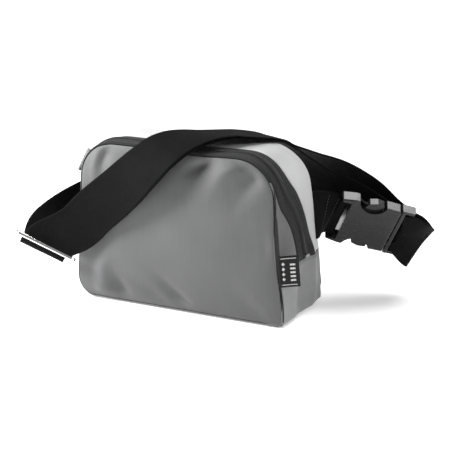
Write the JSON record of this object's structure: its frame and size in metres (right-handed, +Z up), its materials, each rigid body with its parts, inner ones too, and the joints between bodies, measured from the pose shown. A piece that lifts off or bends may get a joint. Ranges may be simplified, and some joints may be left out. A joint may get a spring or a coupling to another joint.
{
  "type": "belt bag",
  "caption": "Soft fabric waist pack with a zip that curves over its top and a webbing belt joined by a side-release buckle and a sliding tri-glide.",
  "frame": {"origin": "bottom centre of the pouch, on the face it stands on", "axes": "+Z up, -Y out of the plain front panel, +X towards the side with the side-release buckle"},
  "size_m": [0.2965, 0.1652, 0.1399],
  "materials": {
    "body_fabric": "plain-woven polyester with a slight satin sheen",
    "gusset_fabric": "plain-woven polyester with a slight satin sheen",
    "binding_tape": "narrow woven binding tape",
    "zip_tape": "herringbone zip tape",
    "zip_coil": "nylon coil",
    "zip_metal": "dark nickel",
    "pull_fabric": "folded cloth tab",
    "label_fabric": "woven label with a plain pale geometric pattern",
    "webbing": "ribbed polyester webbing",
    "buckle_plastic": "moulded acetal, fine spark texture",
    "polished_metal": "polished nickel plate"
  },
  "bodies": {
    "pouch": {"back_panel": "gusset_fabric", "belt_back_inner": "webbing", "belt_back_outer": "webbing", "belt_front_inner": "webbing", "belt_front_outer": "webbing", "belt_glide_bight": "webbing", "belt_left_strap": "webbing", "belt_sewn_end": "webbing", "belt_short_strap": "webbing", "binding_back": "binding_tape", "binding_front": "binding_tape", "bottom_gusset": "gusset_fabric", "buckle_socket": "buckle_plastic", "front_panel": "body_fabric", "rear_gusset": "gusset_fabric", "side_label": "label_fabric", "side_wedge_left": "gusset_fabric", "side_wedge_right": "gusset_fabric", "zip_coil_front": "zip_coil", "zip_coil_rear": "zip_coil", "zip_stop_left": "zip_metal", "zip_stop_right": "zip_metal", "zip_tape_front": "zip_tape", "zip_tape_rear": "zip_tape"},
    "zip_slider": {"zip_slider": "zip_metal"},
    "zip_pull": {"zip_pull": "pull_fabric"},
    "buckle_plug": {"buckle_plug": "buckle_plastic", "plug_webbing": "webbing"},
    "prong_upper": {"prong_upper": "buckle_plastic"},
    "prong_lower": {"prong_lower": "buckle_plastic"},
    "triglide": {"triglide_frame": "polished_metal", "triglide_bar": "polished_metal"}
  },
  "joints": [
    {"name": "zip_travel", "type": "hinge", "parent": "pouch", "child": "zip_slider", "pos_m": [-0.053, -0.0235, 0.096], "axis": [0, 1, 0], "range_deg": [0, 60]},
    {"name": "zip_pull_swing", "type": "hinge", "parent": "zip_slider", "child": "zip_pull", "pos_m": [-0.0853, -0.0235, 0.11465], "axis": [0, 1, 0], "range_deg": [0, 150]},
    {"name": "buckle_release", "type": "slide", "parent": "pouch", "child": "buckle_plug", "axis": [0.8079, 0.5239, -0.27], "range_m": [0, 0.034], "deforming": ["prong_upper", "prong_lower"]},
    {"name": "prong_upper_squeeze", "type": "hinge", "parent": "buckle_plug", "child": "prong_upper", "pos_m": [0.14175, 0.06182, 0.07039], "axis": [0.3544, -0.7978, -0.4878], "range_deg": [0, 9], "stiffness_Nm_per_rad": 1.3},
    {"name": "prong_lower_squeeze", "type": "hinge", "parent": "buckle_plug", "child": "prong_lower", "pos_m": [0.12668, 0.07137, 0.04382], "axis": [-0.3544, 0.7978, 0.4878], "range_deg": [0, 9], "stiffness_Nm_per_rad": 1.3},
    {"name": "triglide_tilt", "type": "hinge", "parent": "pouch", "child": "triglide", "pos_m": [-0.11, -0.052, 0.043], "axis": [0.7701, 0.4201, -0.4801], "range_deg": [-15, 15]}
  ]
}
